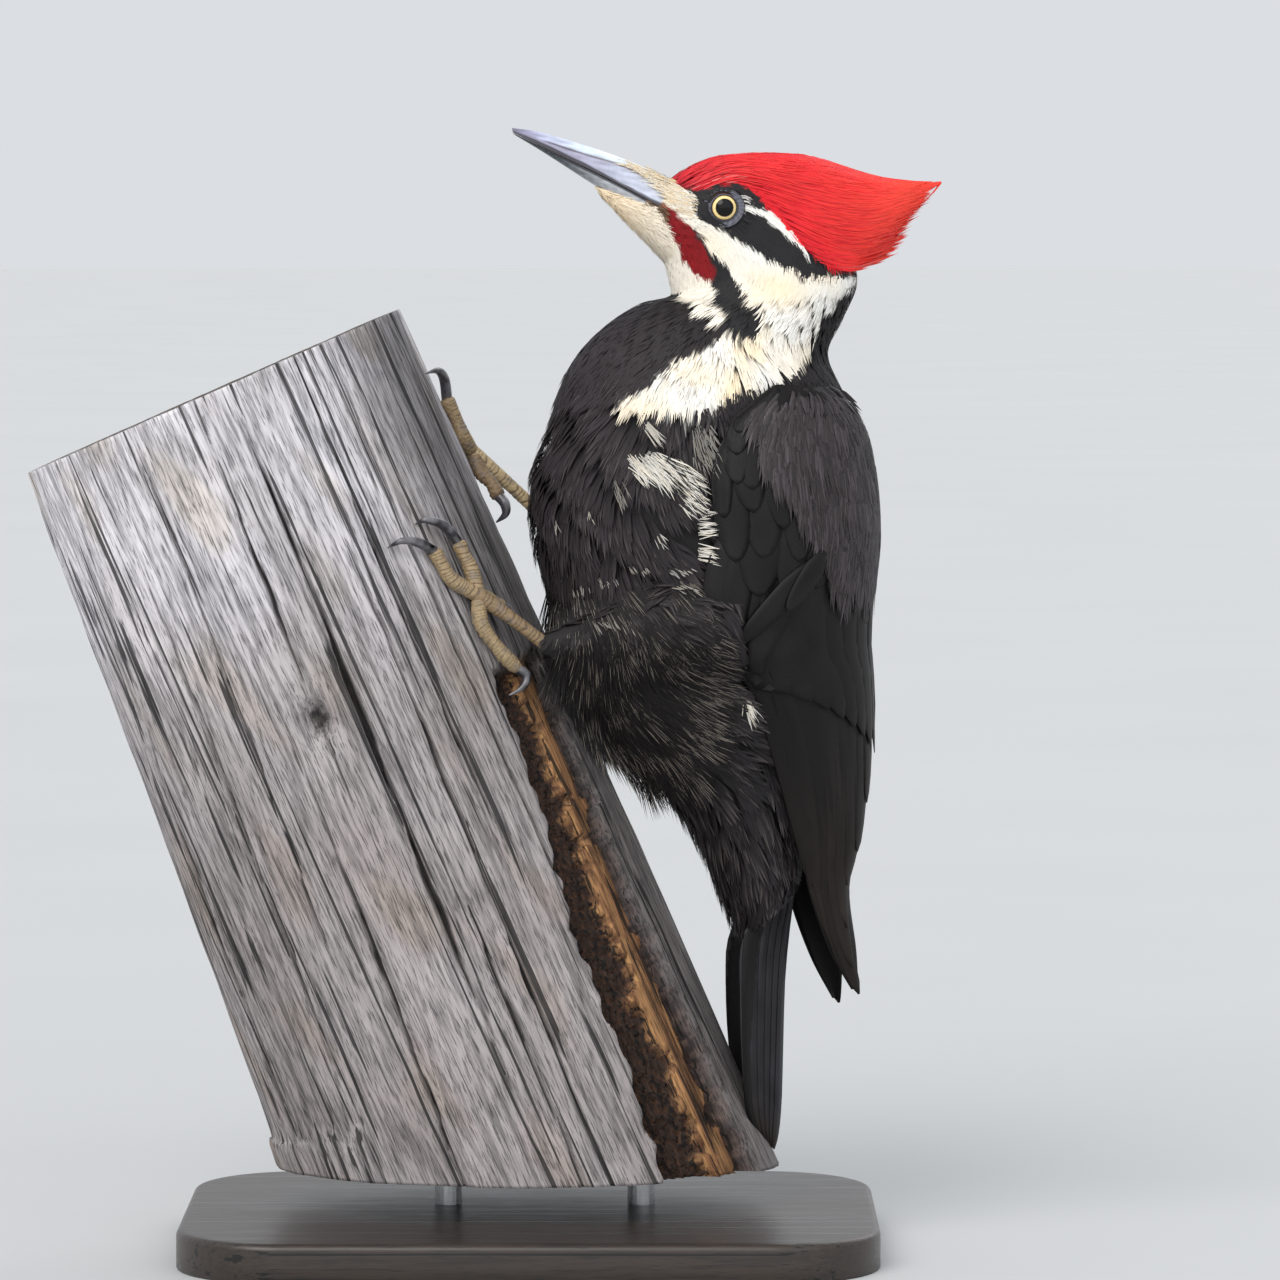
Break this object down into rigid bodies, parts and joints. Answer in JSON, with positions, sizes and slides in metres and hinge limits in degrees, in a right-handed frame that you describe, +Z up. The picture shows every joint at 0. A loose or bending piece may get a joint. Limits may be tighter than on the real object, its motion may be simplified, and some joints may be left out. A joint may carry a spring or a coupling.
{
  "type": "pileated woodpecker",
  "caption": "Life-size male pileated woodpecker with a red crest, clinging to a cut length of weathered post that two short rods hold over a flat display base.",
  "frame": {"origin": "centre of the underside of the display base", "axes": "+Z up; the bird's belly and bill face -X, its left side faces -Y"},
  "size_m": [0.3285, 0.176, 0.4034],
  "materials": {
    "plumage": "soft matt feathers with pale hair-like tips on the breast and flanks",
    "head": "short dense feathers, striped black, white and cream, with a crimson malar patch",
    "crest": "long glossy hair-like crimson feathers",
    "wing": "smooth overlapping flight feathers with a faint sheen",
    "bill": "smooth horn, blue-grey with a pale lower half and a dark tip",
    "eye": "wet and glossy, pale yellow iris round a black pupil",
    "foot": "dry scaled skin with ringed scutes",
    "claw": "smooth dark horn",
    "perch": "weathered grey, dry, with long open checks and one brown split",
    "stand_base": "dark satin lacquer",
    "stand_rod": "brushed"
  },
  "bodies": {
    "root": {"bill_lower": "bill", "bill_upper": "bill", "claw_left_1": "claw", "claw_left_2": "claw", "claw_left_3": "claw", "claw_left_4": "claw", "claw_right_1": "claw", "claw_right_2": "claw", "claw_right_3": "claw", "claw_right_4": "claw", "crest": "crest", "eye_left": "eye", "eye_right": "eye", "head": "head", "neck": "plumage", "perch": "perch", "shank_left": "foot", "shank_right": "foot", "stand_base": "stand_base", "stand_rod_1": "stand_rod", "stand_rod_2": "stand_rod", "tail": "plumage", "thigh_left": "plumage", "thigh_right": "plumage", "toe_left_1": "foot", "toe_left_2": "foot", "toe_left_3": "foot", "toe_left_4": "foot", "toe_right_1": "foot", "toe_right_2": "foot", "toe_right_3": "foot", "toe_right_4": "foot", "trunk": "plumage", "wing_left": "wing", "wing_right": "wing"}
  },
  "joints": []
}
